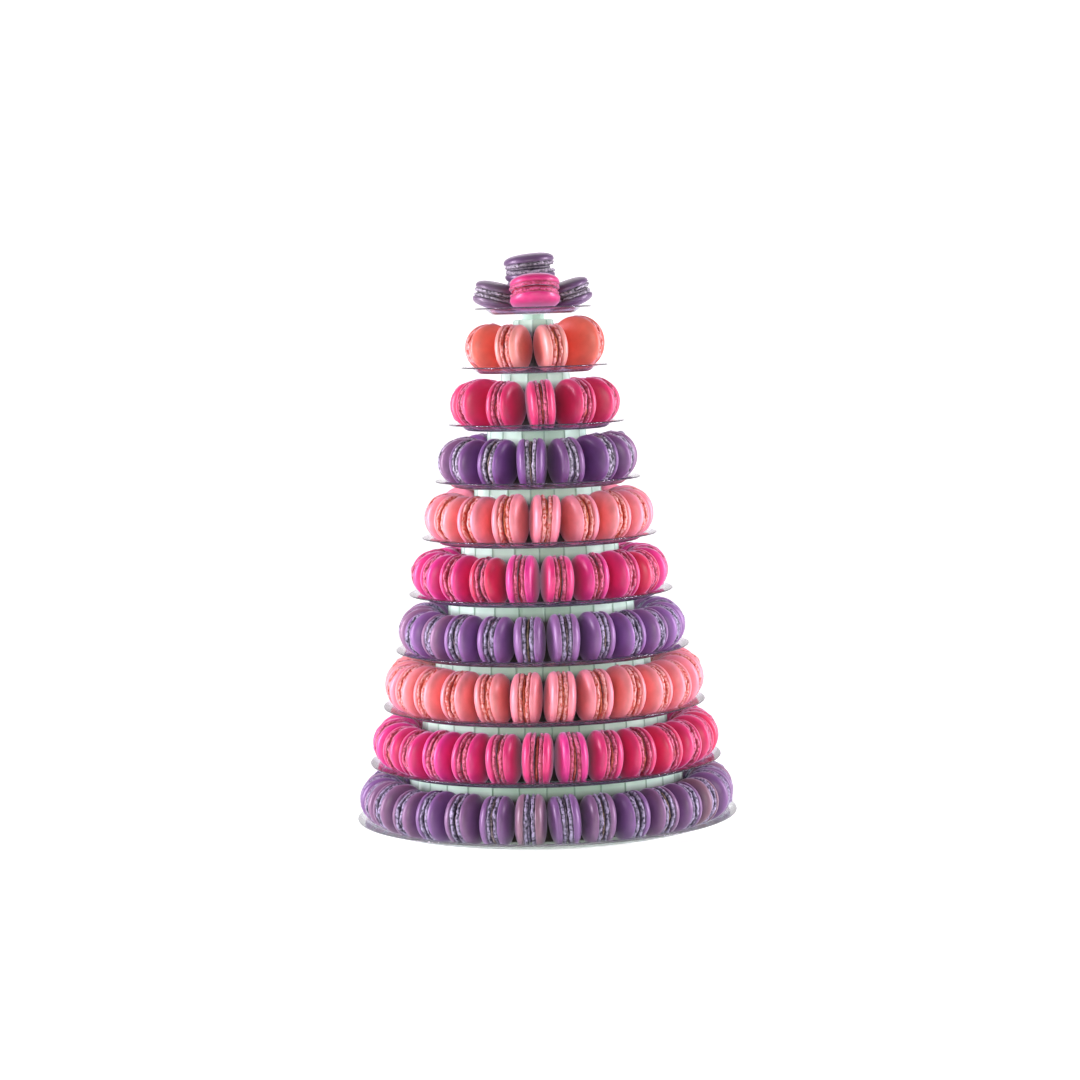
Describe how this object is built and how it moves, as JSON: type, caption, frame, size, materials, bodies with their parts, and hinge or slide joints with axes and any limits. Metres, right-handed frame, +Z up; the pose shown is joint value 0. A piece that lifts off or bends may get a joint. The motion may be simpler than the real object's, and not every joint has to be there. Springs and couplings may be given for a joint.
{
  "type": "macaron pyramid",
  "caption": "Tall stepped pyramid of violet, raspberry and peach macarons standing on edge in round clear plastic trays, with a small heap on the top tray.",
  "frame": {"origin": "under the middle of the base tray, on the surface that the stand rests on", "axes": "+Z up along the axis of the stand, -Y towards the front as pictured, +X to the right"},
  "size_m": [0.36, 0.36, 0.5352],
  "materials": {
    "clear_tray": "clear, thin and glossy with a faint grey-green tint",
    "violet_macaron": "satin almond shell, violet, with a grey-lilac filling",
    "raspberry_macaron": "satin almond shell, raspberry pink, with a red filling",
    "peach_macaron": "satin almond shell, peach, with an orange filling"
  },
  "bodies": {
    "root": {"tray_01": "clear_tray", "tray_02": "clear_tray", "tray_03": "clear_tray", "tray_04": "clear_tray", "tray_05": "clear_tray", "tray_06": "clear_tray", "tray_07": "clear_tray", "tray_08": "clear_tray", "tray_09": "clear_tray", "tray_10": "clear_tray", "macaron_01_front": "raspberry_macaron", "macaron_01_right": "violet_macaron", "macaron_01_back": "violet_macaron", "macaron_01_left": "violet_macaron", "macaron_01_crown": "violet_macaron", "macaron_02_01": "peach_macaron", "macaron_02_02": "peach_macaron", "macaron_02_03": "peach_macaron", "macaron_02_04": "peach_macaron", "macaron_02_05": "peach_macaron", "macaron_02_06": "peach_macaron", "macaron_02_07": "peach_macaron", "macaron_02_08": "peach_macaron", "macaron_03_01": "raspberry_macaron", "macaron_03_02": "raspberry_macaron", "macaron_03_03": "raspberry_macaron", "macaron_03_04": "raspberry_macaron", "macaron_03_05": "raspberry_macaron", "macaron_03_06": "raspberry_macaron", "macaron_03_07": "raspberry_macaron", "macaron_03_08": "raspberry_macaron", "macaron_03_09": "raspberry_macaron", "macaron_03_10": "raspberry_macaron", "macaron_03_11": "raspberry_macaron", "macaron_04_01": "violet_macaron", "macaron_04_02": "violet_macaron", "macaron_04_03": "violet_macaron", "macaron_04_04": "violet_macaron", "macaron_04_05": "violet_macaron", "macaron_04_06": "violet_macaron", "macaron_04_07": "violet_macaron", "macaron_04_08": "violet_macaron", "macaron_04_09": "violet_macaron", "macaron_04_10": "violet_macaron", "macaron_04_11": "violet_macaron", "macaron_04_12": "violet_macaron", "macaron_04_13": "violet_macaron", "macaron_04_14": "violet_macaron", "macaron_05_ring": "peach_macaron", "macaron_06_ring": "raspberry_macaron", "macaron_07_ring": "violet_macaron", "macaron_08_ring": "peach_macaron", "macaron_09_ring": "raspberry_macaron", "macaron_10_ring": "violet_macaron"}
  },
  "joints": []
}
